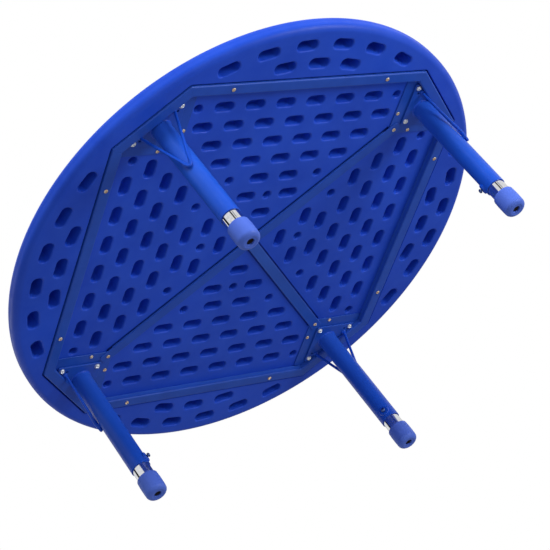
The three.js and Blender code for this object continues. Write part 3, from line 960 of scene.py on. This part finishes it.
# Dark flags round the horizon: (start, end, grey), with places as shares of a full turn.
DARK_FLAGS = ((0.180, 0.232, 0.06), (0.255, 0.285, 0.30), (0.55, 0.72, 0.35), (0.875, 0.955, 0.01))


def world(light, mirrored, seen):
    """A studio surround: an even light, white behind the table, and dark flags that shiny parts mirror."""
    made = bpy.data.worlds.new("studio")
    bpy.context.scene.world = made
    made.use_nodes = True
    tree = made.node_tree
    tree.nodes.clear()
    path = tree.nodes.new("ShaderNodeLightPath")
    out = tree.nodes.new("ShaderNodeOutputWorld")

    def background(colour, strength):
        node = tree.nodes.new("ShaderNodeBackground")
        node.inputs["Strength"].default_value = strength
        if isinstance(colour, bpy.types.NodeSocket):
            tree.links.new(colour, node.inputs["Color"])
        else:
            node.inputs["Color"].default_value = colour
        return node.outputs[0]

    def either(ray, no, yes):
        node = tree.nodes.new("ShaderNodeMixShader")
        tree.links.new(path.outputs[ray], node.inputs[0])
        tree.links.new(no, node.inputs[1])
        tree.links.new(yes, node.inputs[2])
        return node.outputs[0]

    direction = tree.nodes.new("ShaderNodeTexCoord").outputs["Generated"]
    around = tree.nodes.new("ShaderNodeTexGradient")
    around.gradient_type = "RADIAL"
    tree.links.new(direction, around.inputs[0])
    flags = tree.nodes.new("ShaderNodeValToRGB")
    tree.links.new(around.outputs["Fac"], flags.inputs[0])
    stops = [(0, 1.0)]
    for start, end, grey in DARK_FLAGS:
        stops += [(start, 1.0), (start + 0.008, grey), (end - 0.008, grey), (end, 1.0)]
    ramp = flags.color_ramp
    ramp.elements[0].position, ramp.elements[1].position = stops[0][0], stops[1][0]
    for position, _ in stops[2:]:
        ramp.elements.new(position)
    for element, (_, grey) in zip(ramp.elements, stops):
        element.color = (grey, grey, grey, 1)
    lit = either("Is Glossy Ray", background(*light), background(flags.outputs["Color"], mirrored))
    tree.links.new(either("Is Camera Ray", lit, background(*seen)), out.inputs[0])


def softbox(name, place, aim, size, power, mirrored=True):
    lamp = bpy.data.lights.new(name, "AREA")
    lamp.shape = "DISK"
    lamp.size = size
    lamp.energy = power
    obj = bpy.data.objects.new(name, lamp)
    bpy.context.scene.collection.objects.link(obj)
    obj.location = place
    obj.rotation_mode = "QUATERNION"
    obj.rotation_quaternion = (Vector(aim) - Vector(place)).to_track_quat("-Z", "Y")
    obj.visible_camera = False
    obj.visible_glossy = mirrored


def camera(aim, distance, azimuth, elevation, roll, lens):
    data = bpy.data.cameras.new("camera")
    data.lens = lens
    data.sensor_width = 36
    data.clip_end = 50
    obj = bpy.data.objects.new("camera", data)
    bpy.context.scene.collection.objects.link(obj)
    a, e = math.radians(azimuth), math.radians(elevation)
    back = Vector((math.sin(a) * math.cos(e), -math.cos(a) * math.cos(e), math.sin(e)))
    obj.location = Vector(aim) + back * distance
    obj.rotation_mode = "QUATERNION"
    level_view = (-back).to_track_quat("-Z", "Y")
    obj.rotation_quaternion = level_view @ Matrix.Rotation(math.radians(roll), 3, "Z").to_quaternion()
    bpy.context.scene.camera = obj


studio_floor()
world(light=((0.93, 0.95, 1.0, 1), 0.37), mirrored=0.85, seen=((1, 1, 1, 1), 1.0))
softbox("key_low", (1.3, -2.4, -0.7), (0, 0, 0.35), 1.3, 38)
softbox("fill_low", (-1.2, -2.4, -0.8), (0, 0, 0.37), 1.4, 5)
softbox("key_high", (-1.2, -2.8, 2.6), (0, 0, 0.3), 2.0, 120, False)
softbox("fill_high", (2.4, 0.8, 2.4), (0, 0, 0.3), 2.0, 30, False)
softbox("overhead", (0.4, 0.9, 4.5), (0, 0, 0.4), 4.0, 55, False)
camera(aim=(0, 0.003, 0.259), distance=4.203, azimuth=-45.1, elevation=-36.4, roll=-38.5, lens=126.9)
bpy.context.scene.view_settings.view_transform = "Standard"
